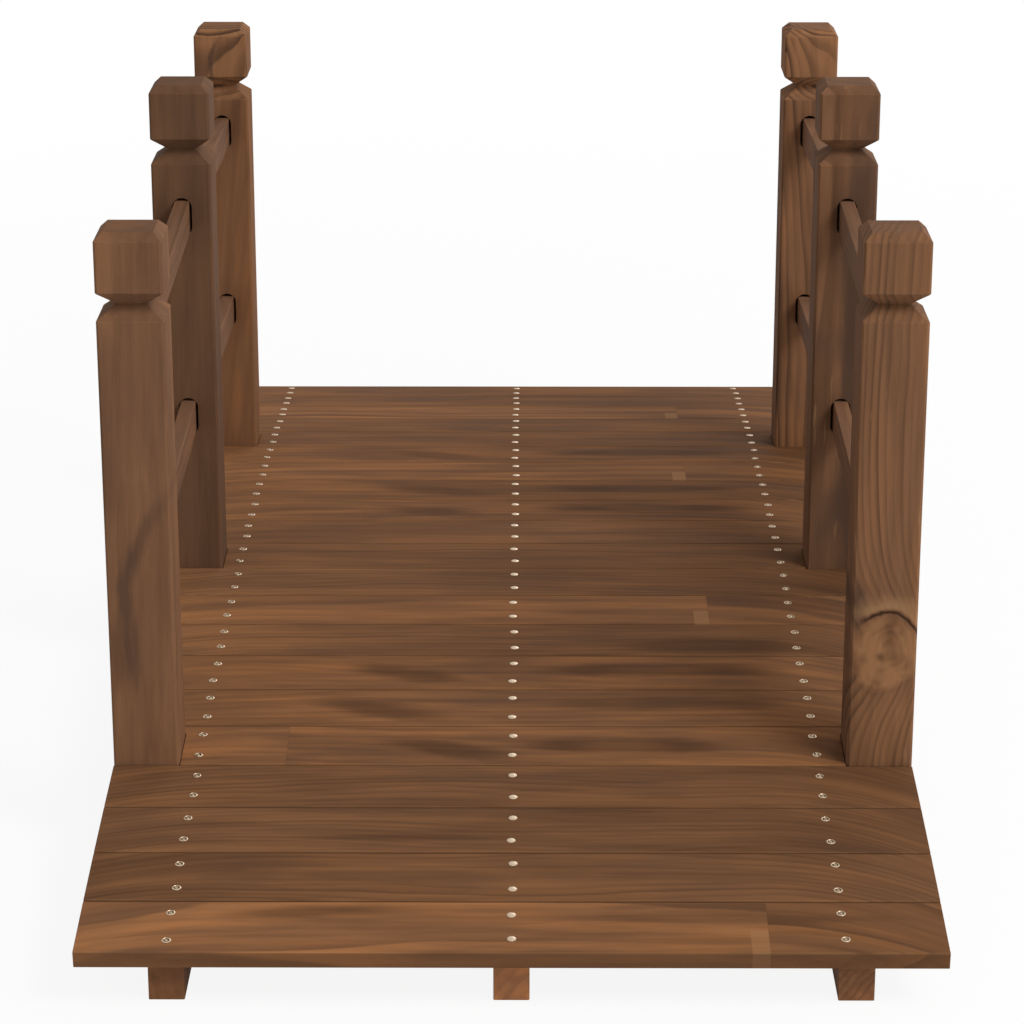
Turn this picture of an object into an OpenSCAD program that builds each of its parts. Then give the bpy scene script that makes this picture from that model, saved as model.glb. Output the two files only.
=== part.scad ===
// Arched garden bridge: three curved stringers carry cross boards, and square posts
// fixed to the outer stringers carry two straight rails on each side.
// The bridge runs along Y, +X is the right side seen from the near end, and Z = 0 is the ground.

/* [Deck] */
// Length of a deck board, which is the width of the bridge
bridge_w = 670; // [560:5:800]
// Number of deck boards, odd so that one board lies on the crest
board_count = 21; // [19:2:25]
// Width of a deck board along the bridge
board_w = 70.5; // [62:0.5:90]
// Thickness of a deck board
board_t = 14; // [12:0.5:22]
// Gap between two deck boards
board_gap = 1; // [0.5:0.25:4]
// Size of the eased long edges on top of a board
board_ease = 1; // [0.5:0.25:2.5]
// Clearance between a board and the arched stringers below it
board_seat = 0.1; // [0.05:0.05:0.3]

/* [Stringers] */
// Radius of the arched top of the stringers
arch_r = 5170; // [4500:10:6500]
// Width of a stringer
stringer_w = 28; // [22:1:40]
// Height of a stringer at its ends
stringer_end_h = 37; // [28:1:50]
// Depth of a stringer at the crest of the arch
stringer_mid_h = 50; // [40:1:60]
// Length of the flat foot at each end of a stringer
foot_len = 120; // [80:5:200]
// Distance by which the deck overhangs the ends of the stringers
deck_overhang = 15; // [0:1:30]

/* [Posts] */
// Width and depth of a square post
post_w = 55; // [48:1:60]
// Board pitches from one pair of posts to the next
post_step = 6; // [5:1:8]
// Height of the near and far posts above the deck
post_h = 455; // [380:1:560]
// Extra height of the middle posts
mid_post_extra = 12; // [0:1:40]
// Length of post that laps the side of a stringer below its top edge
post_lap = 40; // [25:1:50]
// Size of the chamfer round the top of a post
cap_chamfer = 7; // [3:0.5:12]
// Height of the upright faces of a post's cap
cap_h = 42; // [30:1:60]
// Height of the V-groove under the cap
groove_h = 24; // [10:0.5:30]
// Depth of the V-groove under the cap
groove_d = 15; // [4:0.5:18]
// Size of the eased upright edges of a post
post_ease = 2; // [0.5:0.25:4]
// Clearance between a post and the board that is notched round it
notch_gap = 0.5; // [0.2:0.1:3]

/* [Rails] */
// Thickness of a rail
rail_t = 13.5; // [9:0.5:18]
// Height of a rail
rail_h = 30; // [22:1:45]
// Size of the eased long edges of a rail
rail_ease = 0.5; // [0.5:0.25:2.5]
// Distance from the V-groove down to the upper mortise in the near and far posts
rail_drop = 18; // [8:0.5:60]
// Distance between the centre lines of the upper and lower rails
rail_spacing = 193; // [120:1:240]
// Depth of the mortises that hold the rails
mortise_d = 20; // [12:1:22]
// Gap beside a rail in its mortise
mortise_side = 2.3; // [0.6:0.1:3]
// Clearance between a rail and the round ends and the floor of its mortise
rail_clear = 0.3; // [0.1:0.05:0.5]

/* [Hidden] */
side_names = ["left", "right"];
station_names = ["near", "middle", "far"];
bay_names = ["near", "far"];
level_names = ["upper", "lower"];
stringer_names = ["left", "centre", "right"];

deck_colour = "#7A5038";
post_colour = "#70503A";
rail_colour = "#6A4832";
stringer_colour = "#5E412E";

// Number of straight pieces that a full arch circle is drawn with
arch_fn = 1440;
// Number of straight pieces that the round end of a mortise is drawn with
round_fn = 48;

// The arch: its centre lies far below the bridge, on the Z axis
board_pitch = board_w + board_gap;
deck_half_angle = degrees((board_count * board_pitch - board_gap) / 2 / arch_r);
stringer_half = arch_r * sin(deck_half_angle) - deck_overhang;
crest_z = stringer_end_h + arch_r - sqrt(pow(arch_r, 2) - pow(stringer_half, 2));
arch_cz = crest_z - arch_r;
deck_r = arch_r + board_seat + board_t;

// The hollow underside of a stringer, from foot to foot
under_half = stringer_half - foot_len;
under_h = crest_z - stringer_mid_h;
under_r = (pow(under_half, 2) + pow(under_h, 2)) / (2 * under_h);

// Posts stand outside the outer stringers, flush with the board ends
post_inner_x = bridge_w / 2 - post_w;
post_x = bridge_w / 2 - post_w / 2;
outer_stringer_x = post_inner_x - stringer_w / 2;

// Mortises have round ends, and the rail's eased corners just clear them
slot_w = rail_t + 2 * mortise_side;
slot_r = slot_w / 2;
slot_reach = slot_r - rail_clear;
slot_straight = rail_h / 2 - min(
    sqrt(pow(slot_reach, 2) - pow(rail_t / 2 - rail_ease, 2)),
    rail_ease + sqrt(pow(slot_reach, 2) - pow(rail_t / 2, 2)));
slot_h = 2 * (slot_straight + slot_r);
upper_rail_z = post_h - cap_chamfer - cap_h - groove_h - rail_drop - slot_h / 2;

function degrees(radians) = radians * 180 / PI;
function two_digits(i) = str(i < 10 ? "0" : "", i);
function side_sign(side) = side == 0 ? -1 : 1;

// Boards are counted from the near end, starting at 1
mid_board = (board_count + 1) / 2;
function board_angle(i) = degrees((i - mid_board) * board_pitch / arch_r);
function post_board(station) = mid_board + (station - 1) * post_step;
function post_station(i) = search(i, [for (s = [0 : 2]) post_board(s)]);

// A post's front face stands at the seam in front of its board, clear of the board before it
function seam_angle(station) = board_angle(post_board(station)) - degrees(board_pitch / 2 / arch_r);
function post_front(station) = max(arch_r * sin(seam_angle(station)), deck_r * sin(seam_angle(station)));
function post_y(station) = post_front(station) + post_w / 2;
function deck_z(station) = arch_cz + sqrt(pow(deck_r, 2) - pow(post_y(station), 2));
function post_foot_z(station) = deck_z(station) - board_t - board_seat - post_lap;
function post_top_z(station) = deck_z(station) + post_h + (station == 1 ? mid_post_extra : 0);
function post_len(station) = post_top_z(station) - post_foot_z(station);

// A rail's axis joins two points on the centre lines of neighbouring posts
function rail_z(station, level) = deck_z(station) + upper_rail_z - level * rail_spacing;
function rail_run(bay) = post_y(bay + 1) - post_y(bay);
function rail_slope(bay, level) = atan((rail_z(bay + 1, level) - rail_z(bay, level)) / rail_run(bay));
function rail_start_y(bay) = post_y(bay) + post_w / 2 - mortise_d;
function rail_end_y(bay) = post_y(bay + 1) - post_w / 2 + mortise_d;
function rail_start_z(bay, level) =
    rail_z(bay, level) + (post_w / 2 - mortise_d) * tan(rail_slope(bay, level));
function rail_len(bay, level) = (rail_end_y(bay) - rail_start_y(bay)) / cos(rail_slope(bay, level));

function stringer_name(k) = str("stringer_", stringer_names[k]);
function board_name(i) = str("deck_board_", two_digits(i));
function post_name(side, station) = str("post_", side_names[side], "_", station_names[station]);
function rail_name(side, bay, level) =
    str("rail_", side_names[side], "_", bay_names[bay], "_", level_names[level]);

// Rectangle with its four corners cut off at 45 degrees
module eased_rectangle(w, h, ease) {
    polygon([
        [w / 2 - ease, -h / 2], [w / 2, -h / 2 + ease],
        [w / 2, h / 2 - ease], [w / 2 - ease, h / 2],
        [ease - w / 2, h / 2], [-w / 2, h / 2 - ease],
        [-w / 2, ease - h / 2], [ease - w / 2, -h / 2]]);
}

// Draws a side view, with Y across and Z up, as a solid of the given width along X
module across_bridge(width) {
    rotate([90, 0, 90])
        linear_extrude(width, center = true)
            children();
}

// Side view of a stringer: arched top, flat feet and a hollow underside
module stringer_profile() {
    difference() {
        intersection() {
            translate([0, arch_cz])
                circle(r = arch_r, $fn = arch_fn);
            translate([-stringer_half, 0])
                square([2 * stringer_half, crest_z + stringer_end_h]);
        }
        translate([0, under_h - under_r])
            circle(r = under_r, $fn = arch_fn);
    }
}

module stringer(k) {
    color(stringer_colour)
        translate([(k - 1) * outer_stringer_x, 0, 0])
            across_bridge(stringer_w)
                stringer_profile();
}

// Side view of a board, with its two top edges eased
module board_profile() {
    polygon([
        [-board_w / 2, 0], [board_w / 2, 0],
        [board_w / 2, board_t - board_ease], [board_w / 2 - board_ease, board_t],
        [board_ease - board_w / 2, board_t], [-board_w / 2, board_t - board_ease]]);
}

// Room for a post in the board beside it, open at the board's end and front edge
module post_notch(side, station) {
    notch_w = post_w + notch_gap;
    notch_d = board_w + post_w + notch_gap;
    translate([
        side_sign(side) * (post_inner_x - notch_gap + notch_w),
        post_front(station) - board_w + notch_d / 2,
        deck_z(station)])
        cube([2 * notch_w, notch_d, 4 * board_t], center = true);
}

module deck_board(i) {
    color(deck_colour)
        difference() {
            translate([0, 0, arch_cz])
                rotate([-board_angle(i), 0, 0])
                    translate([0, 0, arch_r + board_seat])
                        across_bridge(bridge_w)
                            board_profile();
            for (station = post_station(i), side = [0, 1])
                post_notch(side, station);
        }
}

// Front view of a post: plain shaft, V-groove and chamfered cap
module post_profile(h) {
    half = post_w / 2;
    cap_top = h - cap_chamfer;
    groove_top = cap_top - cap_h;
    groove_mid = groove_top - groove_h / 2;
    groove_foot = groove_top - groove_h;
    polygon([
        [-half, 0], [half, 0],
        [half, groove_foot], [half - groove_d, groove_mid], [half, groove_top],
        [half, cap_top], [half - cap_chamfer, h],
        [cap_chamfer - half, h], [-half, cap_top],
        [-half, groove_top], [groove_d - half, groove_mid], [-half, groove_foot]]);
}

// The profile cut from both faces, with eased upright edges
module post_blank(h) {
    intersection() {
        linear_extrude(h)
            eased_rectangle(post_w, post_w, post_ease);
        rotate([90, 0, 0])
            linear_extrude(post_w, center = true)
                post_profile(h);
        across_bridge(post_w)
            post_profile(h);
    }
}

// Draws a cross-section along a rail's sloping axis, between its two mortise floors
module along_rail(side, bay, level, end_clear) {
    translate([side_sign(side) * post_x, rail_start_y(bay), rail_start_z(bay, level)])
        rotate([rail_slope(bay, level), 0, 0])
            translate([0, end_clear, 0])
                rotate([-90, 0, 0])
                    linear_extrude(rail_len(bay, level) - 2 * end_clear)
                        children();
}

// Cross-section of a mortise: a slot with round ends
module slot_profile() {
    square([slot_w, 2 * slot_straight], center = true);
    for (end = [-1, 1])
        translate([0, end * slot_straight])
            circle(r = slot_r, $fn = round_fn);
}

module post(side, station) {
    color(post_colour)
        difference() {
            translate([side_sign(side) * post_x, post_y(station), post_foot_z(station)])
                post_blank(post_len(station));
            for (bay = [0, 1], level = [0, 1])
                if (station == bay || station == bay + 1)
                    along_rail(side, bay, level, 0)
                        slot_profile();
        }
}

module rail(side, bay, level) {
    color(rail_colour)
        along_rail(side, bay, level, rail_clear)
            eased_rectangle(rail_t, rail_h, rail_ease);
}

for (k = [0 : 2])
    stringer(k);
for (i = [1 : board_count])
    deck_board(i);
for (side = [0, 1], station = [0 : 2])
    post(side, station);
for (side = [0, 1], bay = [0, 1], level = [0, 1])
    rail(side, bay, level);
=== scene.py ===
import math
import random

import bpy
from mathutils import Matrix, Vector


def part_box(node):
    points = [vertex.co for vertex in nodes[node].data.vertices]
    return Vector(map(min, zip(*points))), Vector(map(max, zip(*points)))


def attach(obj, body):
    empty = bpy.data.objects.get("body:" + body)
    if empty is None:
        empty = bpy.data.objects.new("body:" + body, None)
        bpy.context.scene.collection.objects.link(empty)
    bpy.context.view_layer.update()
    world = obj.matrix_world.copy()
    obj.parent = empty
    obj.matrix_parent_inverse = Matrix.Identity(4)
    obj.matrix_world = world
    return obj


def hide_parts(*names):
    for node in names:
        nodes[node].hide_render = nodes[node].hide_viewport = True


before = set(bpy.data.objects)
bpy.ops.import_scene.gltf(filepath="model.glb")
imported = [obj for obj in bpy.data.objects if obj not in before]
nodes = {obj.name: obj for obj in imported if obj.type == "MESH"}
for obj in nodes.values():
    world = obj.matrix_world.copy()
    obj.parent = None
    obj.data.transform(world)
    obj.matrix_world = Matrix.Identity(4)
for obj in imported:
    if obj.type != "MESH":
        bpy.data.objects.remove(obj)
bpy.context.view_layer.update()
print("frame loaded,", len(nodes), "nodes")


def linear(red, green, blue):
    # a colour as a picker shows it, 0 to 255, turned into what the nodes want by the usual screen curve
    parts = []
    for value in (red, green, blue):
        share = value / 255
        parts.append(share / 12.92 if share <= 0.04045 else ((share + 0.055) / 1.055) ** 2.4)
    return (*parts, 1.0)


def deselectAll():
    bpy.ops.object.select_all(action="DESELECT")


def makeActive(piece):
    deselectAll()
    piece.select_set(True)
    bpy.context.view_layer.objects.active = piece


# Node helpers

def clearTree(owner):
    owner.use_nodes = True
    owner.node_tree.nodes.clear()
    return owner.node_tree


def plug(tree, socket, value):
    if isinstance(value, bpy.types.NodeSocket):
        tree.links.new(value, socket)
    else:
        socket.default_value = value


def calc(tree, operation, *values, clamp=False):
    node = tree.nodes.new("ShaderNodeMath")
    node.operation = operation
    node.use_clamp = clamp
    for socket, value in zip(node.inputs, values):
        plug(tree, socket, value)
    return node.outputs[0]


def times(tree, first, second, clamp=False):
    return calc(tree, "MULTIPLY", first, second, clamp=clamp)


def calcVector(tree, operation, *values):
    node = tree.nodes.new("ShaderNodeVectorMath")
    node.operation = operation
    for socket, value in zip(node.inputs, values):
        plug(tree, socket, value)
    return node.outputs["Value"] if operation in ("DOT_PRODUCT", "LENGTH") else node.outputs["Vector"]


def fade(tree, value, low, high, start=0.0, end=1.0):
    # smooth step from start to end while value goes from low to high
    node = tree.nodes.new("ShaderNodeMapRange")
    node.interpolation_type = "SMOOTHSTEP"
    for socket, number in zip(node.inputs, (value, low, high, start, end)):
        plug(tree, socket, number)
    return node.outputs["Result"]


def band(tree, value, low, full, wane, high):
    # 1 between full and wane, and down to 0 at low and at high
    return times(tree, fade(tree, value, low, full), fade(tree, value, wane, high, 1.0, 0.0))


def cloud(tree, spot, stretch, detail=2.0, roughness=0.5):
    # noise from 0 to 1, its stretch in waves per metre along, across and through the grain
    node = tree.nodes.new("ShaderNodeTexNoise")
    plug(tree, node.inputs["Vector"], calcVector(tree, "MULTIPLY", spot, stretch))
    node.inputs["Scale"].default_value = 1.0
    node.inputs["Detail"].default_value = detail
    node.inputs["Roughness"].default_value = roughness
    return node.outputs["Fac"]


def swing(tree, spot, *noise):
    # the same noise, to either side of 0
    return calc(tree, "SUBTRACT", cloud(tree, spot, *noise), 0.5)


def blend(tree, share, under, over, mode="MIX"):
    node = tree.nodes.new("ShaderNodeMix")
    node.data_type = "RGBA"
    node.blend_type = mode
    for socket, value in ((0, share), (6, under), (7, over)):  # the sockets that a mix of colours uses
        plug(tree, node.inputs[socket], value)
    return node.outputs[2]


def lay(tree, mask, share, under, over):
    # a colour laid over another where the mask is, at most by the share
    return blend(tree, times(tree, mask, share), under, over)


def attributeOf(tree, name, kind="Vector"):
    node = tree.nodes.new("ShaderNodeAttribute")
    node.attribute_name = name
    return node.outputs[kind]


def objectSpot(tree):
    return tree.nodes.new("ShaderNodeTexCoord").outputs["Object"]


def split(tree, vector):
    node = tree.nodes.new("ShaderNodeSeparateXYZ")
    plug(tree, node.inputs[0], vector)
    return node.outputs


def combine(tree, x, y, z):
    node = tree.nodes.new("ShaderNodeCombineXYZ")
    for socket, value in zip(node.inputs, (x, y, z)):
        plug(tree, socket, value)
    return node.outputs[0]


def newGroup(name, inputs, outputs):
    tree = bpy.data.node_groups.new(name, "ShaderNodeTree")
    for label, kind in inputs:
        tree.interface.new_socket(name=label, in_out="INPUT", socket_type="NodeSocket" + kind)
    for label, kind in outputs:
        tree.interface.new_socket(name=label, in_out="OUTPUT", socket_type="NodeSocket" + kind)
    return tree, tree.nodes.new("NodeGroupInput").outputs, tree.nodes.new("NodeGroupOutput").inputs


def useGroup(tree, group, **values):
    node = tree.nodes.new("ShaderNodeGroup")
    node.node_tree = group
    for label, value in values.items():
        plug(tree, node.inputs[label], value)
    return node.outputs


# In the shapes of the groups below, a noise is its stretch, detail and roughness,
# a fade is low, high, start and end, and a band is low, full, wane and high

# Growth rings round the pith: x runs along the grain, y and z are measured from the pith, in metres
ringShape = {
    "sway": ((2.8, 14, 14), 3, 0.35),
    "lateBand": (0.25, 0.9, 0.9, 1.0),  # late wood within one ring
    "palestYear": 0.35,
    "spell": ((1.4, 0.35, 1), 1), "spellFade": (0.3, 0.62, 0.25, 1.0),  # years of faint and of clear rings
}


def growthRings():
    tree, given, result = newGroup(
        "growthRings",
        [("place", "Vector"), ("width", "Float"), ("wander", "Float"), ("bend", "Float")],
        [("late", "Float")])
    x, y, z = split(tree, given["place"])
    radius = calc(tree, "SQRT", calc(tree, "ADD", times(tree, y, y), times(tree, z, z)))
    sway = swing(tree, given["place"], *ringShape["sway"])
    radius = calc(tree, "MULTIPLY_ADD", sway, given["wander"], radius)
    radius = calc(tree, "ADD", radius, given["bend"])
    turns = calc(tree, "DIVIDE", radius, given["width"])
    late = band(tree, calc(tree, "FRACT", turns), *ringShape["lateBand"])
    yearNode = tree.nodes.new("ShaderNodeTexWhiteNoise")
    yearNode.noise_dimensions = "1D"
    plug(tree, yearNode.inputs["W"], calc(tree, "FLOOR", turns))
    palest = ringShape["palestYear"]
    year = calc(tree, "MULTIPLY_ADD", yearNode.outputs["Value"], 1 - palest, palest)
    spell = cloud(tree, combine(tree, x, turns, 0.0), *ringShape["spell"])
    spell = fade(tree, spell, *ringShape["spellFade"])
    plug(tree, result["late"], times(tree, times(tree, late, year), spell))
    return tree


# Fibres: broad shade, streaks, hair lines and a few pale torn flecks
fibreShape = {
    "shade": ((5, 32, 32), 3, 0.55), "streak": ((7, 105, 105), 3, 0.55), "hair": ((20, 900, 900), 2, 0.6),
    "fleck": ((24, 210, 210), 1), "fleckFade": (0.70, 0.80),
}


def woodFibres():
    tree, given, result = newGroup(
        "woodFibres", [("place", "Vector")],
        [("shade", "Float"), ("streak", "Float"), ("hair", "Float"), ("fleck", "Float")])
    for name in ("shade", "streak", "hair"):
        plug(tree, result[name], cloud(tree, given["place"], *fibreShape[name]))
    fleck = cloud(tree, given["place"], *fibreShape["fleck"])
    plug(tree, result["fleck"], fade(tree, fleck, *fibreShape["fleckFade"]))
    return tree


# Smudges: soft lens shaped patches of grey, drawn out along the grain
smudgeShape = {"lens": ((7.5, 17, 17), 3, 0.4), "lensFade": (0.50, 0.68)}


def stainSmudges():
    tree, given, result = newGroup(
        "stainSmudges", [("place", "Vector"), ("amount", "Float")], [("mask", "Float")])
    lens = cloud(tree, given["place"], *smudgeShape["lens"])
    plug(tree, result["mask"], times(tree, fade(tree, lens, *smudgeShape["lensFade"]), given["amount"]))
    return tree


# A single curved smear: place is along and across from its middle, and its half width
smearShape = {
    "edge": ((25, 160, 0), 3), "raggedness": 1.5, "edgeFade": (0.1, 1.2, 1.0, 0.0),
    "curve": 3.2, "slope": 0.2, "lowerSlope": -0.05,  # how it leads aside above and below its middle
    "lengthBand": (-0.105, -0.06, 0.02, 0.115),
}


def darkSmear():
    tree, given, result = newGroup("darkSmear", [("place", "Vector")], [("mask", "Float")])
    x, y, width = split(tree, given["place"])
    above = calc(tree, "MAXIMUM", x, 0.0)
    below = calc(tree, "MINIMUM", x, 0.0)
    line = times(tree, calc(tree, "MULTIPLY_ADD", above, smearShape["curve"], smearShape["slope"]), above)
    line = calc(tree, "MULTIPLY_ADD", below, smearShape["lowerSlope"], line)
    aside = calc(tree, "DIVIDE", calc(tree, "SUBTRACT", y, line), width)
    ragged = swing(tree, given["place"], *smearShape["edge"])
    aside = calc(tree, "ABSOLUTE", calc(tree, "MULTIPLY_ADD", ragged, smearShape["raggedness"], aside))
    length = band(tree, x, *smearShape["lengthBand"])
    plug(tree, result["mask"], times(tree, fade(tree, aside, *smearShape["edgeFade"]), length))
    return tree


# A finger joint: place is along from the joint, across from the board's middle, and 1 where a finger shows
jointShape = {
    "nextAlong": 3.1, "nextAcross": 0.012,  # how far on in the trunk the next length was cut
    "lineFade": (0.0002, 0.001, 1.0, 0.0),
    "fingerLength": (-0.0145, -0.0135), "fingerSide": (-0.004, -0.003, 1.0, 0.0),
}


def fingerJoint():
    tree, given, result = newGroup(
        "fingerJoint", [("grain", "Vector"), ("place", "Vector")],
        [("grain", "Vector"), ("past", "Float"), ("line", "Float"), ("finger", "Float")])
    x, y, shown = split(tree, given["place"])
    past = calc(tree, "GREATER_THAN", x, 0.0)
    nextAlong = times(tree, past, jointShape["nextAlong"])
    nextAcross = times(tree, past, jointShape["nextAcross"])
    nextLength = combine(tree, nextAlong, nextAcross, 0.0)
    plug(tree, result["grain"], calcVector(tree, "ADD", given["grain"], nextLength))
    plug(tree, result["past"], past)
    plug(tree, result["line"], fade(tree, calc(tree, "ABSOLUTE", x), *jointShape["lineFade"]))
    length = fade(tree, x, *jointShape["fingerLength"])
    finger = times(tree, length, fade(tree, y, *jointShape["fingerSide"]))
    plug(tree, result["finger"], times(tree, finger, calc(tree, "SUBTRACT", shown, past, clamp=True)))
    return tree


# A mark: place is along and across in half lengths and half widths from its middle, then its strength
markShape = {
    "edge": ((14, 75, 75), 3), "raggedness": 1.1, "edgeFade": (0.35, 1.15, 1.0, 0.0),
    "hollowReach": (0.1, 0.75),  # half lengths over which a hollow middle fills up
}


def stainAndShadowMark():
    tree, given, result = newGroup(
        "stainAndShadowMark", [("grain", "Vector"), ("place", "Vector"), ("hollow", "Float")], [("mask", "Float")])
    x, y, power = split(tree, given["place"])
    ragged = swing(tree, given["grain"], *markShape["edge"])
    aside = calc(tree, "MULTIPLY_ADD", ragged, markShape["raggedness"], y)
    reach = calcVector(tree, "LENGTH", combine(tree, x, aside, 0.0))
    middle = calc(tree, "SUBTRACT", 1.0, given["hollow"])
    filled = fade(tree, calc(tree, "ABSOLUTE", x), *markShape["hollowReach"], middle, 1.0)
    mask = times(tree, fade(tree, reach, *markShape["edgeFade"]), filled)
    plug(tree, result["mask"], times(tree, mask, power))
    return tree


# Grain that bows towards the near edge at both ends of a board
bowShape = {"rightStart": 0.20, "rightPower": 2.6, "leftStart": -0.22, "leftPower": 1.4}


def bowedEnds():
    tree, given, result = newGroup(
        "bowedEnds", [("grain", "Vector"), ("along", "Float")], [("grain", "Vector")])
    right = calc(tree, "MAXIMUM", calc(tree, "SUBTRACT", given["along"], bowShape["rightStart"]), 0.0)
    left = calc(tree, "MAXIMUM", calc(tree, "SUBTRACT", bowShape["leftStart"], given["along"]), 0.0)
    bow = times(tree, times(tree, right, right), bowShape["rightPower"])
    bow = calc(tree, "MULTIPLY_ADD", times(tree, left, left), bowShape["leftPower"], bow)
    plug(tree, result["grain"], calcVector(tree, "ADD", given["grain"], combine(tree, 0.0, bow, 0.0)))
    return tree


# A branch knot: place is along, across and through from the middle of its face
knotShape = {
    "ball": (0.85, 1.0, 1.2), "lobes": ((32, 32, 32), 3, 0.5), "lobed": 0.5,
    "edgeFade": (0.78, 1.02, 1.0, 0.0),
    "humpBase": 2.718, "humpFall": -0.42, "humpHeight": -0.9,  # how the rings round the knot give way
    "mottle": ((24, 42, 42), 2, 0.5), "mottleFade": (0.26, 0.64), "mottleLean": 6.5,
    "yearLobed": 0.7, "yearPace": 27.0, "yearPower": 0.09,
    "heartOffset": (0.003, 0.004, 0.0), "heartLobed": 0.4, "heartFade": (0.03, 0.22, 1.0, 0.0),
    "upperLean": 0.6,
    "crackBand": (0.92, 0.99, 0.99, 1.08), "crackUpper": (0.25, 0.8, 0.06, 1.0),
    "ridgeBand": (1.03, 1.15, 1.15, 1.6), "ridgeUpper": (0.3, 1.0),
}


def branchKnot():
    tree, given, result = newGroup(
        "branchKnot", [("place", "Vector"), ("size", "Float")],
        [("bend", "Float"), ("mask", "Float"), ("tone", "Float"), ("heart", "Float"), ("crack", "Float"),
         ("ridge", "Float")])
    x, y = split(tree, given["place"])[:2]
    size = given["size"]
    lobes = swing(tree, given["place"], *knotShape["lobes"])
    ball = calcVector(tree, "MULTIPLY", given["place"], knotShape["ball"])
    ballReach = calc(tree, "DIVIDE", calcVector(tree, "LENGTH", ball), size)
    fall = times(tree, times(tree, ballReach, ballReach), knotShape["humpFall"])
    hump = calc(tree, "POWER", knotShape["humpBase"], fall)
    plug(tree, result["bend"], times(tree, hump, times(tree, size, knotShape["humpHeight"])))
    reach = calc(tree, "MULTIPLY_ADD", lobes, knotShape["lobed"], ballReach)
    plug(tree, result["mask"], fade(tree, reach, *knotShape["edgeFade"]))
    mottle = fade(tree, cloud(tree, given["place"], *knotShape["mottle"]), *knotShape["mottleFade"])
    mottle = calc(tree, "MULTIPLY_ADD", calc(tree, "SUBTRACT", y, x), knotShape["mottleLean"], mottle)
    year = calc(tree, "MULTIPLY_ADD", lobes, knotShape["yearLobed"], reach)
    year = calc(tree, "SINE", times(tree, year, knotShape["yearPace"]))
    plug(tree, result["tone"], calc(tree, "MULTIPLY_ADD", year, knotShape["yearPower"], mottle, clamp=True))
    core = calcVector(tree, "ADD", given["place"], knotShape["heartOffset"])
    core = calc(tree, "DIVIDE", calcVector(tree, "LENGTH", core), size)
    core = calc(tree, "MULTIPLY_ADD", lobes, knotShape["heartLobed"], core)
    plug(tree, result["heart"], fade(tree, core, *knotShape["heartFade"]))
    upper = calc(tree, "DIVIDE", calc(tree, "MULTIPLY_ADD", y, knotShape["upperLean"], x), size)
    for rim in ("crack", "ridge"):  # both are strongest on the knot's upper side; the pale rim is partly resin and partly a painted highlight
        strength = fade(tree, upper, *knotShape[rim + "Upper"])
        plug(tree, result[rim], times(tree, band(tree, reach, *knotShape[rim + "Band"]), strength))
    return tree


ringGroup = growthRings()
fibreGroup = woodFibres()
smudgeGroup = stainSmudges()
smearGroup = darkSmear()
jointGroup = fingerJoint()
markGroup = stainAndShadowMark()
bowGroup = bowedEnds()
knotGroup = branchKnot()

# Stained softwood, one recipe for the four sorts of piece: shares of what is laid over it, and its fades
layers = {
    "smudge": 0.85, "smear": 0.7, "finger": 0.55, "jointLine": 0.15,
    "ridge": 0.55, "knot": 0.85, "heart": 0.65, "crack": 0.95,
    "pastJoint": 0.95,  # light of the length past a finger joint
    "warmFade": (0.4, 0.7, 0.6, 1.4), "shadeFade": (0.34, 0.66), "streakFade": (0.28, 0.72),
    "hairFade": (0.3, 0.7, 0.97, 1.03), "wearAndHighlightFade": (0.35, 0.6, 0.05, 0.3),
    # the share of end grain colour on the boards' long edges is painted shade
    "endFade": (0.75, 0.97), "boardEdgeShade": 0.55, "roughFade": (0.2, 0.8),
    "bumpDepth": 0.0006, "bumpStreak": 0.8,
}


def layKnot(tree, look, knot, tint):
    knotTint = blend(tree, knot["tone"], look["knotMid"], look["knotLight"])
    knotTint = lay(tree, knot["heart"], layers["heart"], knotTint, look["knotDark"])
    # a pale rim above the crack in resin's colour: partly resin and partly a painted highlight
    tint = lay(tree, knot["ridge"], layers["ridge"], tint, look["resin"])
    tint = lay(tree, knot["mask"], layers["knot"], tint, knotTint)
    return lay(tree, knot["crack"], layers["crack"], tint, look["knotDark"])


def layEnds(tree, look, tint):
    # end grain where a face looks along the grain; on the boards' long edges, which are side grain, the same
    # dark colour is painted shade
    facing = tree.nodes.new("ShaderNodeTexCoord").outputs["Normal"]
    cuts = [(look["grainAxis"], look["endShare"])]
    if look["sort"] == "board":
        cuts.append(((0, 1, 0), layers["boardEdgeShade"]))
    for axis, share in cuts:
        cut = calc(tree, "ABSOLUTE", calcVector(tree, "DOT_PRODUCT", facing, axis))
        tint = blend(tree, fade(tree, cut, *layers["endFade"], 0.0, share), tint, look["endGrain"])
    return tint


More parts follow.
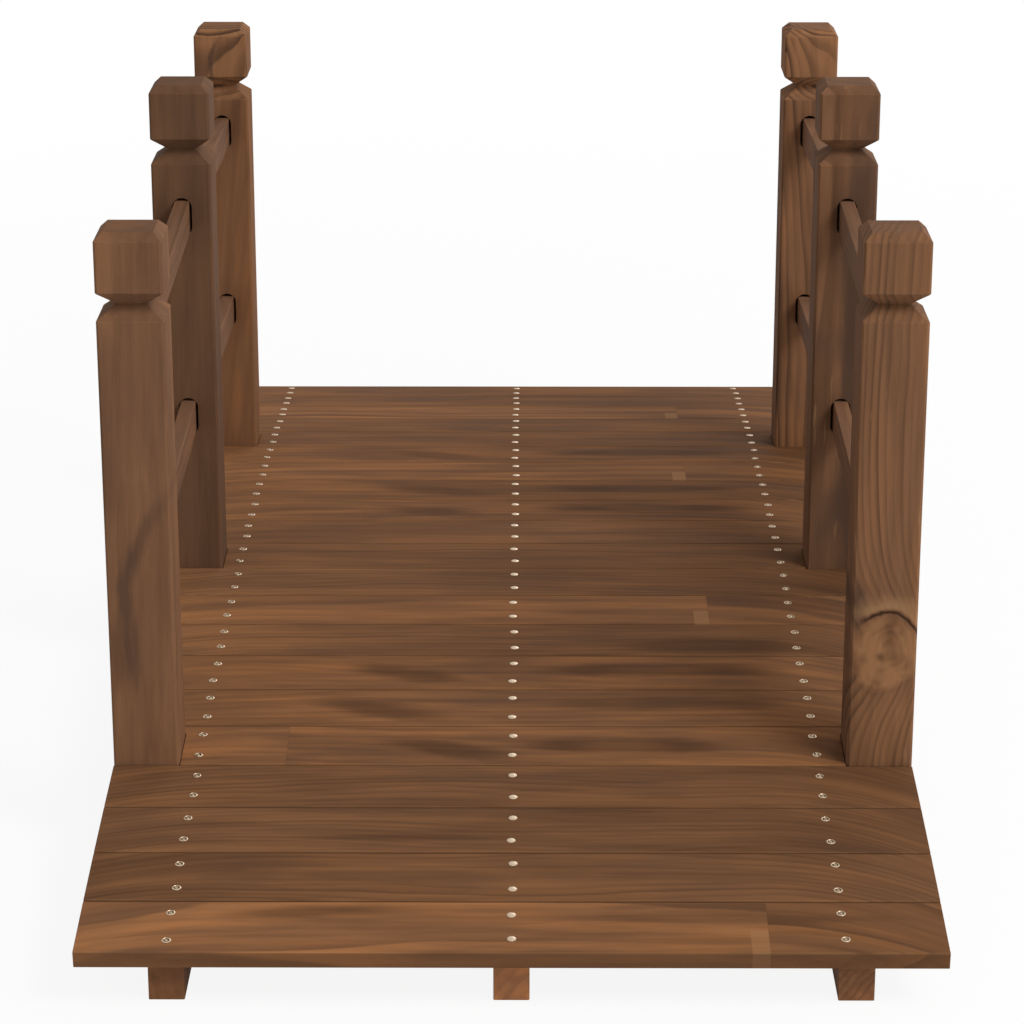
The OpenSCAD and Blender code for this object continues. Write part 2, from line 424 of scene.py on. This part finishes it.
def stainedWood(name, look):
    material = bpy.data.materials.new(name)
    tree = clearTree(material)
    light, warm, smudge = split(tree, attributeOf(tree, "plankTone"))
    ringPower, ringWidth, flecks = split(tree, attributeOf(tree, "plankGrain"))
    plain = attributeOf(tree, "grainPlace")
    grain = plain
    bend = 0.0
    if look["sort"] == "board":
        plain = useGroup(tree, bowGroup, grain=plain, along=split(tree, objectSpot(tree))[0])["grain"]
        joint = useGroup(tree, jointGroup, grain=plain, place=attributeOf(tree, "jointPlace"))
        grain = joint["grain"]
        light = times(tree, light, fade(tree, joint["past"], 0.0, 1.0, 1.0, layers["pastJoint"]))
    if look["sort"] == "post":
        knot = useGroup(tree, knotGroup, place=attributeOf(tree, "knotPlace"), size=look["knotSize"])
        bend = knot["bend"]
    rings = useGroup(tree, ringGroup, place=grain, width=ringWidth, wander=look["wander"], bend=bend)
    fibres = useGroup(tree, fibreGroup, place=grain)
    smudges = useGroup(tree, smudgeGroup, place=grain, amount=smudge)

    def markMask(markName, hollow):
        spot = attributeOf(tree, markName)
        return useGroup(tree, markGroup, grain=plain, place=spot, hollow=hollow)["mask"]

    # the wood itself: warm parts, broad shade, pale patches on posts, then rings and streaks
    warmShare = times(tree, warm, fade(tree, fibres["shade"], *layers["warmFade"]), clamp=True)
    tint = blend(tree, warmShare, look["plain"], look["warm"])
    shade = fade(tree, fibres["shade"], *layers["shadeFade"], look["shade"], 0.0)
    tint = blend(tree, shade, tint, look["late"])
    if look["sort"] == "post":
        tint = blend(tree, markMask("secondMark", 0.0), tint, look["faded"])
    tint = blend(tree, times(tree, rings["late"], ringPower, clamp=True), tint, look["late"])
    streak = fade(tree, fibres["streak"], *layers["streakFade"], *look["streak"])
    hair = fade(tree, fibres["hair"], *layers["hairFade"])
    level = times(tree, times(tree, streak, hair), light)
    tint = blend(tree, 1.0, tint, combine(tree, level, level, level), "MULTIPLY")

    # what lies over it: smudges, flecks, stains and painted shadow, joint or knot, pale arrises for wear and
    # a painted highlight, and end grain with painted shade on the boards' long edges
    tint = lay(tree, smudges["mask"], layers["smudge"], tint, look["smudge"])
    tint = lay(tree, fibres["fleck"], flecks, tint, look["resin"])
    # dark marks: stains, on the deck partly painted shadow of the right posts and rails
    for markName, hollow in look["stainAndShadowMarks"].items():
        tint = blend(tree, markMask(markName, hollow), tint, look["stain"])
    if look["sort"] == "board":
        tint = lay(tree, joint["finger"], layers["finger"], tint, look["pale"])
        tint = lay(tree, joint["line"], layers["jointLine"], tint, look["late"])
    if look["sort"] == "post":
        smear = useGroup(tree, smearGroup, place=attributeOf(tree, "smearPlace"))
        tint = lay(tree, smear["mask"], layers["smear"], tint, look["smudge"])
        tint = layKnot(tree, look, knot, tint)
    # pale arrises: partly wear and partly a painted highlight along the rounded edges
    wearAndHighlightShare = fade(tree, fibres["streak"], *layers["wearAndHighlightFade"])
    tint = lay(tree, attributeOf(tree, "worn", "Fac"), wearAndHighlightShare, tint, look["pale"])
    tint = layEnds(tree, look, tint)

    bump = tree.nodes.new("ShaderNodeBump")
    bump.inputs["Strength"].default_value = look["bump"]
    bump.inputs["Distance"].default_value = layers["bumpDepth"]
    height = calc(tree, "MULTIPLY_ADD", fibres["streak"], layers["bumpStreak"], fibres["hair"])
    plug(tree, bump.inputs["Height"], height)

    surface = tree.nodes.new("ShaderNodeBsdfPrincipled")
    rough = fade(tree, fibres["streak"], *layers["roughFade"], *look["rough"])
    plug(tree, surface.inputs["Base Color"], tint)
    plug(tree, surface.inputs["Roughness"], rough)
    plug(tree, surface.inputs["Normal"], bump.outputs[0])
    surface.inputs["Specular IOR Level"].default_value = look["specular"]
    output = tree.nodes.new("ShaderNodeOutputMaterial")
    tree.links.new(surface.outputs[0], output.inputs["Surface"])
    return material


# Looks: the marks that darken a wood, stains that on the deck are partly painted shadow of the right posts
# and rails, and how far each is hollow in its middle
woodLook = {
    "smudge": linear(76, 57, 47), "pale": linear(148, 108, 74), "endGrain": linear(86, 60, 42),
    "resin": linear(160, 122, 86), "rough": (0.66, 0.8), "specular": 0.03, "bump": 0.25,
}
deckLook = dict(
    woodLook, sort="board", grainAxis=(1, 0, 0), endShare=0.65,
    plain=linear(118, 82, 55), warm=linear(130, 87, 54), late=linear(80, 55, 39), stain=linear(67, 45, 30),
    stainAndShadowMarks={"firstMark": 0.0, "secondMark": 0.5}, wander=0.05, shade=0.42, streak=(0.86, 1.13))
barLook = dict(
    woodLook, warm=linear(127, 86, 56), late=linear(79, 56, 41), stainAndShadowMarks={}, wander=0.03, shade=0.25,
    streak=(0.88, 1.12), grainAxis=(0, 1, 0), endShare=0.35)
postLook = dict(
    barLook, sort="post", grainAxis=(0, 0, 1), plain=linear(115, 83, 61), faded=linear(140, 98, 67),
    stain=linear(72, 54, 44), stainAndShadowMarks={"firstMark": 0.0}, knotSize=0.031,
    knotLight=linear(150, 108, 74), knotMid=linear(98, 68, 47), knotDark=linear(50, 34, 25))
railLook = dict(barLook, sort="rail", plain=linear(119, 88, 69))
stringerLook = dict(
    barLook, sort="stringer", plain=linear(116, 80, 56), warm=linear(130, 84, 51), endShare=0.1)
deckWood = stainedWood("deckWood", deckLook)
postWood = stainedWood("postWood", postLook)
railWood = stainedWood("railWood", railLook)
stringerWood = stainedWood("stringerWood", stringerLook)

# Yellow zinc on the fasteners, with painted shade in the screws' recess
zincLook = {
    "low": linear(183, 161, 136), "high": linear(201, 181, 156), "dull": linear(92, 70, 48),
    "spots": ((900, 900, 900), 2), "roughFade": (0.3, 0.7, 0.3, 0.45),
}


def yellowZinc(name, look):
    material = bpy.data.materials.new(name)
    material.use_nodes = True
    tree = material.node_tree
    surface = tree.nodes["Principled BSDF"]
    spots = cloud(tree, objectSpot(tree), *look["spots"])
    tint = blend(tree, spots, look["low"], look["high"])
    tint = blend(tree, attributeOf(tree, "dull", "Fac"), tint, look["dull"])
    plug(tree, surface.inputs["Base Color"], tint)
    plug(tree, surface.inputs["Roughness"], fade(tree, spots, *look["roughFade"]))
    surface.inputs["Metallic"].default_value = 1.0
    return material


screwZinc = yellowZinc("screwZinc", zincLook)
print("materials made")

# Wooden pieces: a copy of each CAD solid with its arrises rounded, angles in degrees
arris = {"merge": 0.000002, "flat": 0.3, "sharp": 28, "segments": 3, "smooth": 35}


def markArrisWearAndHighlight(mesh):
    # the mask is 1 in the middle of a rounded arris and 0 where it meets the flat; there the arris is
    # painted pale, partly wear and partly a painted highlight
    worn = [1.0] * len(mesh.vertices)
    for face in mesh.polygons:
        if face.material_index == 0:
            for corner in face.vertices:
                worn[corner] = 0.0
        face.material_index = 0
    mesh.materials.pop(index=1)
    mesh.attributes.new("worn", "FLOAT", "POINT").data.foreach_set("value", worn)


def roundedCopy(nodeName, wood, rounding):
    first, *others = nodeName.split("_")
    pieceName = first + "".join(word.title() for word in others)
    piece = bpy.data.objects.new(pieceName, nodes[nodeName].data.copy())
    bpy.context.scene.collection.objects.link(piece)
    mesh = piece.data
    mesh.materials.clear()
    mesh.materials.append(wood)
    mesh.materials.append(wood)  # the rounded arrises are told by this second slot
    makeActive(piece)
    bpy.ops.object.mode_set(mode="EDIT")
    bpy.ops.mesh.select_all(action="SELECT")
    bpy.ops.mesh.remove_doubles(threshold=arris["merge"])
    bpy.ops.mesh.dissolve_limited(angle_limit=math.radians(arris["flat"]))
    bpy.ops.object.mode_set(mode="OBJECT")
    bpy.ops.object.modifier_add(type="BEVEL")
    bevel = piece.modifiers[-1]
    bevel.width = rounding
    bevel.segments = arris["segments"]
    bevel.limit_method = "ANGLE"
    bevel.angle_limit = math.radians(arris["sharp"])
    bevel.material = 1
    bpy.ops.object.modifier_apply(modifier=bevel.name)
    markArrisWearAndHighlight(mesh)
    bpy.ops.object.shade_smooth_by_angle(angle=math.radians(arris["smooth"]))
    bpy.ops.object.modifier_add(type="WEIGHTED_NORMAL")
    bpy.ops.object.modifier_apply(modifier=piece.modifiers[-1].name)
    return piece


# What a piece has unless its look says more: knot, smear and joint out of reach, marks without strength
noMark = (0.0, 0.0, 1.0, 1.0, 0.0, 0.0)
plainGrain = {
    "knot": (-5.0, -5.0, -5.0), "smear": (-5.0, -5.0, 0.01, 1.0), "joint": 5.0, "finger": 0.0,
    "firstMark": noMark, "secondMark": noMark, "flecks": 0.0,
    "drift": 0.0, "ringSlope": 0.0, "ringRise": 0.0,  # painted shade: how the light slopes along the grain; ring power across and along it
}
seedReach = 20  # metres of trunk that the pieces are cut from


def giveGrain(piece, toGrain, look):
    # toGrain turns a point into along, across and through the grain, and the pith leans on its way along
    look = {**plainGrain, **look}
    pithAcross, pithThrough = look["pith"]
    leanAcross, leanThrough = look["lean"]
    smearAlong, smearAcross, smearWidth, smearZoom = look["smear"]
    light, warm, smudge = look["tone"]
    ringPower, ringWidth = look["rings"]
    values = {}

    def put(name, *numbers):
        values.setdefault(name, []).extend(numbers)

    for vertex in piece.data.vertices:
        along, across, through = toGrain(vertex.co)
        put("grainPlace", along + look["seed"] * seedReach, across - pithAcross - along * leanAcross,
            through - pithThrough - along * leanThrough)
        put("knotPlace", along - look["knot"][0], across - look["knot"][1], through - look["knot"][2])
        put("smearPlace", (along - smearAlong) * smearZoom, (across - smearAcross) * smearZoom, smearWidth)
        put("jointPlace", along - look["joint"], across, look["finger"])
        for name in ("firstMark", "secondMark"):
            markAlong, markAcross, length, width, tilt, power = look[name]
            offset = along - markAlong
            put(name, offset / length, (across - markAcross + offset * tilt) / width, power)
        put("plankTone", light + along * look["drift"], warm, smudge)
        ringChange = across * look["ringSlope"] + along * look["ringRise"]
        put("plankGrain", ringPower + ringChange, ringWidth, look["flecks"])
    for name, numbers in values.items():
        piece.data.attributes.new(name, "FLOAT_VECTOR", "POINT").data.foreach_set("vector", numbers)


def finishPiece(piece, nodeName):
    if nodeName:
        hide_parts(nodeName)
    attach(piece, "root")


def woodenPiece(nodeName, wood, rounding, toGrain, look):
    piece = roundedCopy(nodeName, wood, rounding)
    giveGrain(piece, toGrain, look)
    finishPiece(piece, nodeName)


def middleOf(nodeName):
    low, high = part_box(nodeName)
    return (Vector(low) + Vector(high)) / 2


def standingGrain(nodeName):
    centre = middleOf(nodeName)
    return lambda p: (p.z, p.x - centre.x, p.y - centre.y)


def lyingGrain(nodeName):
    centre = middleOf(nodeName)
    return lambda p: (p.y, p.x - centre.x, p.z - centre.z)


draw = random.Random(21)  # the same draws in every run


def jitter(reach):
    return draw.uniform(-reach, reach)


# In the looks of the pieces, tone is light, warm and smudge, rings are their power and width,
# pith is across and through, and a mark is along, across, half length, half width, tilt and strength

# Deck boards
deck = {
    "boards": 21, "pitch": 0.0715, "archRadius": 5.170, "crest": 0.0892, "thickness": 0.014, "seat": 0.0001,
    "rounding": 0.0006,
    "farDim": 0.04, "farWarm": 0.35,  # what the last board loses in light, painted shade, and gains in warmth
    "lightJitter": 0.03, "warmJitter": 0.1, "pithJitter": 0.02, "leanJitter": (0.02, 0.01),
}
middleBoard = (deck["boards"] + 1) / 2
archCentre = Vector((0, 0, deck["crest"] - deck["archRadius"]))
boardMiddle = deck["archRadius"] + deck["seat"] + deck["thickness"] / 2
boardSorts = {
    "bright": {"tone": (1.27, 0.80, 0.15), "rings": (0.9, 0.016), "pith": (0.05, -0.05)},
    "calm": {"tone": (0.98, 0.40, 0.30), "rings": (0.6, 0.007), "pith": (0.28, -0.10)},
    "dim": {"tone": (0.95, 0.30, 0.25), "rings": (0.6, 0.006), "pith": (-0.35, -0.08)},
    "smudged": {"tone": (1.06, 0.80, 0.35), "rings": (0.5, 0.010), "pith": (0.10, -0.06)},
    "mottled": {"tone": (1.05, 0.75, 0.35), "rings": (0.5, 0.011), "pith": (-0.12, -0.06)},
}
boardOrder = [
    "bright", "calm", "dim", "calm", "smudged", "mottled", "smudged", "calm", "bright", "dim", "calm",
    "dim", "smudged", "mottled", "bright", "smudged", "dim", "calm", "bright", "dim", "calm",
]
# the two marks on a board: partly stains and partly painted shadow of the right posts and rails
boardStainsAndShadows = {
    1: ((-0.155, 0.021, 0.085, 0.011, -0.05, 0.5), (0.170, 0.012, 0.140, 0.008, 0.0, 0.45)),
    3: ((-0.090, -0.012, 0.120, 0.006, 0.0, 0.4), (0.080, 0.029, 0.050, 0.0045, 0.0, 0.5)),
    5: ((-0.057, -0.006, 0.064, 0.019, 0.24, 0.65), (0.094, 0.000, 0.100, 0.017, 0.0, 1.0)),
    6: ((-0.115, -0.004, 0.068, 0.020, 0.24, 0.6), (0.125, 0.008, 0.115, 0.016, 0.0, 0.7)),
    7: ((-0.092, -0.004, 0.060, 0.019, 0.24, 0.65), (0.128, 0.005, 0.118, 0.017, 0.0, 0.95)),
    8: ((0.180, -0.012, 0.100, 0.022, 0.04, 0.6), noMark),
    13: ((-0.088, -0.004, 0.062, 0.020, 0.2, 0.5), (0.131, 0.006, 0.118, 0.018, 0.0, 0.95)),
    14: ((-0.083, -0.004, 0.063, 0.020, 0.2, 0.5), (0.131, 0.004, 0.116, 0.019, 0.0, 1.0)),
    16: ((-0.087, -0.004, 0.056, 0.020, 0.2, 0.5), (0.136, 0.004, 0.120, 0.018, 0.0, 0.95)),
}
# how light a board is beside its sort, and how its light changes per metre from left to right: partly the
# board's own tone and partly painted shade, with the near boards dimmed against the key lamp, boards 14 to
# 17 darkened for the middle posts' shadow, and a fall to the right for the shadows of the right posts and
# rails
plainTrimAndShade = (1.0, -0.45)
boardTrimsAndShade = {
    1: (1.0, -0.7), 2: (0.95, 0.1), 3: (0.97, -0.4), 4: (0.92, -0.3), 5: (1.12, -0.3), 6: (1.1, 0.0),
    7: (1.06, 0.1), 10: (1.02, -1.0), 12: (1.08, -0.1), 14: (0.91, -0.6), 15: (0.9, -0.8), 16: (0.91, -0.85),
    17: (0.96, -0.7),
}
boardJoints = {1: 0.198, 5: -0.191, 9: 0.180, 15: 0.178, 19: 0.182}


def boardFrame(number):
    turn = (number - middleBoard) * deck["pitch"] / deck["archRadius"]
    across = Vector((0, math.cos(turn), -math.sin(turn)))
    through = Vector((0, math.sin(turn), math.cos(turn)))
    return archCentre + through * boardMiddle, across, through


def boardGrain(number):
    middle, across, through = boardFrame(number)
    return lambda p: (p.x, (p - middle).dot(across), (p - middle).dot(through))


def boardLook(number):
    sortName = boardOrder[number - 1]
    sort = boardSorts[sortName]
    light, warm, smudge = sort["tone"]
    pithAcross, pithThrough = sort["pith"]
    farShare = max(0.0, (number - middleBoard) / (deck["boards"] - middleBoard))
    trim, drift = boardTrimsAndShade.get(number, plainTrimAndShade)
    light = light * trim * (1 - deck["farDim"] * farShare) + jitter(deck["lightJitter"])
    warm += deck["farWarm"] * farShare
    lean = [jitter(reach) for reach in deck["leanJitter"]]
    look = {
        "pith": (pithAcross + jitter(deck["pithJitter"]), pithThrough), "lean": lean, "seed": draw.random(),
        "tone": (light, warm + jitter(deck["warmJitter"]), smudge), "rings": sort["rings"], "drift": drift,
        "finger": float(sortName == "bright"),
    }
    if number in boardJoints:
        look["joint"] = boardJoints[number]
    if number in boardStainsAndShadows:
        look["firstMark"], look["secondMark"] = boardStainsAndShadows[number]
    return look


for number in range(1, deck["boards"] + 1):
    nodeName = f"deck_board_{number:02d}"
    woodenPiece(nodeName, deckWood, deck["rounding"], boardGrain(number), boardLook(number))
print("deck boards made")

# Posts: a knot is along, across and through, a smear along, across, half width and how far it is shrunk
postRounding = 0.0009
posts = {
    "left_near": {
        "tone": (1.29, 0.25, 0.3), "rings": (0.25, 0.022), "pith": (0.06, 0.10), "lean": (0.03, 0.05),
        # painted light and shade: the near left post is lighter at its foot and darker towards its top
        "smear": (0.238, -0.0135, 0.009, 1.0), "drift": -0.42,
        "firstMark": (0.180, -0.0205, 0.040, 0.008, 0.0, 0.4)},
    "left_middle": {
        "tone": (0.80, 0.05, 0.3), "rings": (0.2, 0.018), "pith": (-0.08, 0.08), "lean": (0.02, 0.01)},
    "left_far": {
        "tone": (1.05, 0.90, 0.2), "rings": (-2.8, 0.0085), "pith": (-0.075, 0.06), "lean": (0.10, 0.03),
        "ringRise": 8.0, "knot": (0.588, 0.002, -0.0275), "smear": (0.511, -0.011, 0.013, 4.0),
        "secondMark": (0.525, 0.0, 0.065, 0.06, 0.0, 0.75)},
    "right_near": {
        "tone": (1.04, 0.35, 0.1), "rings": (0.85, 0.0052), "pith": (-0.28, 0.05), "lean": (0.01, 0.02),
        "ringSlope": -11.0, "knot": (0.1830, 0.0010, -0.0275), "flecks": 0.3,
        "firstMark": (0.226, -0.022, 0.024, 0.011, 0.0, 0.7),
        "secondMark": (0.108, 0.004, 0.050, 0.030, 0.0, 0.6)},
    "right_middle": {
        "tone": (0.97, 0.25, 0.7), "rings": (0.6, 0.022), "pith": (0.05, 0.09), "lean": (0.02, 0.03),
        "flecks": 0.35, "firstMark": (0.290, 0.010, 0.300, 0.017, 0.0, 0.85)},
    "right_far": {
        "tone": (1.19, 0.65, 0.3), "rings": (1.2, 0.0055), "pith": (0.07, 0.06), "lean": (-0.05, 0.02),
        "ringSlope": -18.0, "knot": (0.588, -0.004, -0.0275),
        "secondMark": (0.525, 0.0, 0.065, 0.06, 0.0, 0.5)},
}
for key, look in posts.items():
    nodeName = f"post_{key}"
    look["seed"] = draw.random()
    woodenPiece(nodeName, postWood, postRounding, standingGrain(nodeName), look)
print("posts made")

# Rails: where there are two values for the pith, the light or the warmth, each rail has one between them
rail = {
    "rounding": 0.00028, "pithAcross": (-0.1, 0.1), "pithThrough": (0.05, 0.15), "lean": (0.0, 0.02),
    "light": (0.95, 1.03), "warm": (0.2, 0.5), "smudge": 0.2, "rings": (0.5, 0.008),
}
for side in ("left", "right"):
    for bay in ("near", "far"):
        for level in ("upper", "lower"):
            nodeName = f"rail_{side}_{bay}_{level}"
            look = {
                "pith": (draw.uniform(*rail["pithAcross"]), draw.uniform(*rail["pithThrough"])),
                "tone": (draw.uniform(*rail["light"]), draw.uniform(*rail["warm"]), rail["smudge"]),
                "lean": rail["lean"], "rings": rail["rings"], "seed": draw.random(),
            }
            woodenPiece(nodeName, railWood, rail["rounding"], lyingGrain(nodeName), look)
print("rails made")

# Stringers: their light is set far above the other wood, partly their own tone and partly painted light
# against the shade under the deck's overhang
stringerRounding = 0.0009
stringers = {
    "left": {"tone": (1.14, 0.3, 0.3), "rings": (0.4, 0.009), "pith": (0.1, -0.02), "lean": (0.01, 0.01)},
    "centre": {"tone": (2.1, 1.0, 0.2), "rings": (0.4, 0.010), "pith": (-0.08, 0.03), "lean": (0.01, 0.01)},
    "right": {"tone": (1.42, 0.4, 0.2), "rings": (0.9, 0.005), "pith": (0.12, -0.10), "lean": (0.01, 0.01)},
}
for side, look in stringers.items():
    nodeName = f"stringer_{side}"
    look["seed"] = draw.random()
    woodenPiece(nodeName, stringerWood, stringerRounding, lyingGrain(nodeName), look)
print("stringers made")

# Fasteners: one head is modelled, copied to its places, and the copies are joined into one piece
fastenerSmooth = 40  # degrees


def fastenerCopy(head, spot, turn):
    copy = bpy.data.objects.new("fastener", head.data.copy())
    bpy.context.scene.collection.objects.link(copy)
    copy.rotation_mode = "ZYX"  # spun round its own axis first, then tipped
    copy.rotation_euler = turn
    copy.location = spot
    return copy


def joinFasteners(copies, name):
    deselectAll()
    for copy in copies:
        copy.select_set(True)
    bpy.context.view_layer.objects.active = copies[0]
    bpy.ops.object.transform_apply(location=True, rotation=True, scale=True)
    bpy.ops.object.join()
    fasteners = bpy.context.object
    fasteners.rotation_mode = "XYZ"
    fasteners.name = name
    fasteners.data.materials.clear()
    fasteners.data.materials.append(screwZinc)
    bpy.ops.object.shade_smooth_by_angle(angle=math.radians(fastenerSmooth))
    finishPiece(fasteners, None)


# Deck screws, two in each board on each stringer: domed in the middle row, dished in the outer rows
screw = {
    "radius": 0.0037, "sunk": 0.0006, "rise": 0.0003, "sides": 12,
    "quarter": 0.0175,  # from the middle of the board to either screw
    "stepJitter": 0.0018, "rowJitter": 0.001,  # across the board, and along it
    "rows": {"Left": (-0.2645, "dished"), "Centre": (0.0, "domed"), "Right": (0.256, "dished")},
    # insets ring by ring: inwards in radii, and upwards
    "domed": [(0.16, 0.0003), (0.26, 0.0002), (0.30, 0.0001)],
    "dished": [(0.16, 0.0004), (0.06, 0.0), (0.12, -0.0005), (0.20, -0.0002), (0.10, 0.0006)],
    "recess": (0.42, 0.72),  # radii between which a dished head gets painted shade
}


def screwHead(kind):
    # a disc pulled up out of the board, then drawn in ring by ring
    deselectAll()
    bpy.ops.mesh.primitive_circle_add(
        vertices=screw["sides"], radius=screw["radius"], fill_type="NGON", location=(0, 0, -screw["sunk"]))
    head = bpy.context.object
    bpy.ops.object.transform_apply(location=True, rotation=True, scale=True)
    bpy.ops.object.mode_set(mode="EDIT")
    bpy.ops.mesh.select_all(action="SELECT")
    bpy.ops.mesh.extrude_region_move(TRANSFORM_OT_translate={"value": (0, 0, screw["sunk"] + screw["rise"])})
    for inward, upward in screw[kind]:
        bpy.ops.mesh.inset(thickness=screw["radius"] * inward, depth=upward)
    bpy.ops.object.mode_set(mode="OBJECT")
    if kind == "dished":
        inner, outer = (share * screw["radius"] for share in screw["recess"])
        dull = [float(inner < vertex.co.to_2d().length < outer) for vertex in head.data.vertices]
        head.data.attributes.new("dull", "FLOAT", "POINT").data.foreach_set("value", dull)
    return head


heads = {kind: screwHead(kind) for kind in ("domed", "dished")}
for row, (rowX, kind) in screw["rows"].items():
    copies = []
    for number in range(1, deck["boards"] + 1):
        middle, across, through = boardFrame(number)
        for side in (-1, 1):
            step = side * screw["quarter"] + jitter(screw["stepJitter"])
            spot = middle + across * step + through * (deck["thickness"] / 2)
            spot.x = rowX + jitter(screw["rowJitter"])
            turn = (math.atan2(-through.y, through.z), 0, draw.uniform(0, math.pi))
            copies.append(fastenerCopy(heads[kind], spot, turn))
    joinFasteners(copies, "deckScrews" + row)
for head in heads.values():
    bpy.data.objects.remove(head)
print("screws made")

# Post bolts on the inner faces of the outer stringers: a washer with a domed nut, two for each post
bolt = {
    "washer": 0.008, "thick": 0.0016, "nut": 0.0058, "height": 0.0045, "sides": 24,
    "straight": 0.6, "dome": [(0.2, 0.25), (0.35, 0.15)],  # shares of the nut's radius and height
    "face": 0.252, "above": 0.012,  # the stringer's inner face, and the lower bolt above the post's foot
    "pair": [(-0.011, 0.0), (0.011, 0.016)],  # aside and up
}


def boltHead():
    deselectAll()
    bpy.ops.mesh.primitive_circle_add(vertices=bolt["sides"], radius=bolt["washer"], fill_type="NGON")
    bpy.ops.object.mode_set(mode="EDIT")
    bpy.ops.mesh.select_all(action="SELECT")
    bpy.ops.mesh.extrude_region_move(TRANSFORM_OT_translate={"value": (0, 0, bolt["thick"])})
    bpy.ops.mesh.inset(thickness=bolt["washer"] - bolt["nut"], depth=0)
    straight = bolt["height"] * bolt["straight"]
    bpy.ops.mesh.extrude_region_move(TRANSFORM_OT_translate={"value": (0, 0, straight)})
    for inward, upward in bolt["dome"]:
        bpy.ops.mesh.inset(thickness=bolt["nut"] * inward, depth=bolt["height"] * upward)
    bpy.ops.object.mode_set(mode="OBJECT")
    return bpy.context.object


head = boltHead()
for side, way in (("left", -1), ("right", 1)):
    copies = []
    for station in ("near", "middle", "far"):
        low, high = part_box(f"post_{side}_{station}")
        for aside, up in bolt["pair"]:
            spot = (way * bolt["face"], (low[1] + high[1]) / 2 + aside, low[2] + bolt["above"] + up)
            copies.append(fastenerCopy(head, spot, (0, -way * math.pi / 2, 0)))
    joinFasteners(copies, "postBolts" + side.title())
bpy.data.objects.remove(head)
print("bolts made")


# Floor, light and camera
def seenRay(tree):
    # 1 for what the camera sees, straight or in metal and glass
    ray = tree.nodes.new("ShaderNodeLightPath").outputs
    straight = calc(tree, "MAXIMUM", ray["Is Camera Ray"], ray["Is Glossy Ray"])
    return calc(tree, "MAXIMUM", straight, ray["Is Transmission Ray"])


def mixShaders(tree, share, first, second):
    node = tree.nodes.new("ShaderNodeMixShader")
    for socket, value in zip(node.inputs, (share, first, second)):
        plug(tree, socket, value)
    return node.outputs[0]


ground = {
    "size": 60.0, "drop": 0.0005, "grey": (0.86, 0.86, 0.86, 1),
    "whiteFade": (0.8, 3.0, 0.9, 1.0),  # seen as white, apart from some shadow near the bridge
}
deselectAll()
bpy.ops.mesh.primitive_plane_add(size=ground["size"], location=(0, 0, -ground["drop"]))
floor = bpy.context.object
floor.name = "floor"
floorPaint = bpy.data.materials.new("floorPaint")
tree = clearTree(floorPaint)
away = fade(tree, calcVector(tree, "LENGTH", objectSpot(tree)), *ground["whiteFade"])
paint = tree.nodes.new("ShaderNodeBsdfDiffuse")
paint.inputs["Color"].default_value = ground["grey"]
white = tree.nodes.new("ShaderNodeEmission")
clear = tree.nodes.new("ShaderNodeBsdfTransparent")  # so that the bridge shows from below
upper = mixShaders(tree, times(tree, seenRay(tree), away), paint.outputs[0], white.outputs[0])
below = tree.nodes.new("ShaderNodeNewGeometry").outputs["Backfacing"]
both = mixShaders(tree, below, upper, clear.outputs[0])
tree.links.new(both, tree.nodes.new("ShaderNodeOutputMaterial").inputs["Surface"])
floor.data.materials.append(floorPaint)

ambient = 0.46  # strength of the world's light, which is seen as white
studio = bpy.data.worlds.new("studio")
bpy.context.scene.world = studio
tree = clearTree(studio)
sky = tree.nodes.new("ShaderNodeBackground")
sky.inputs["Color"].default_value = (1, 1, 1, 1)
plug(tree, sky.inputs["Strength"], calc(tree, "MULTIPLY_ADD", seenRay(tree), 1 - ambient, ambient))
tree.links.new(sky.outputs[0], tree.nodes.new("ShaderNodeOutputWorld").inputs["Surface"])

lamps = {
    "key": {"place": (3.4, -2.9, 4.6), "aim": (0, 0, 0.2), "size": 2.6, "power": 235},
    "fill": {"place": (3.4, 0.4, 1.8), "aim": (0, 0, 0.3), "size": 2.0, "power": 24},
    "back": {"place": (1.6, 4.4, 3.0), "aim": (0, 0.3, 0.2), "size": 2.2, "power": 45},
    "low": {"place": (0.4, -3.6, 0.5), "aim": (0, -0.7, 0.1), "size": 1.6, "power": 12},
}
for name, lamp in lamps.items():
    light = bpy.data.lights.new(name, "AREA")
    light.size = lamp["size"]
    light.energy = lamp["power"]
    holder = bpy.data.objects.new(name, light)
    bpy.context.scene.collection.objects.link(holder)
    holder.location = lamp["place"]
    holder.rotation_euler = (Vector(lamp["aim"]) - Vector(lamp["place"])).to_track_quat("-Z", "Y").to_euler()

shot = {
    "lens": 117.77, "sensor": 36, "reach": 100,
    "place": (0.0094, -3.0566, 1.1933), "pitch": 18.883, "turn": 0.221,  # degrees down, and to the left
}
camera = bpy.data.cameras.new("camera")
camera.lens = shot["lens"]
camera.sensor_width = shot["sensor"]
camera.clip_end = shot["reach"]
cameraHolder = bpy.data.objects.new("camera", camera)
bpy.context.scene.collection.objects.link(cameraHolder)
cameraHolder.location = shot["place"]
cameraHolder.rotation_euler = (math.radians(90 - shot["pitch"]), 0, math.radians(shot["turn"]))
bpy.context.scene.camera = cameraHolder
bpy.context.scene.view_settings.view_transform = "Standard"
print("stage set")
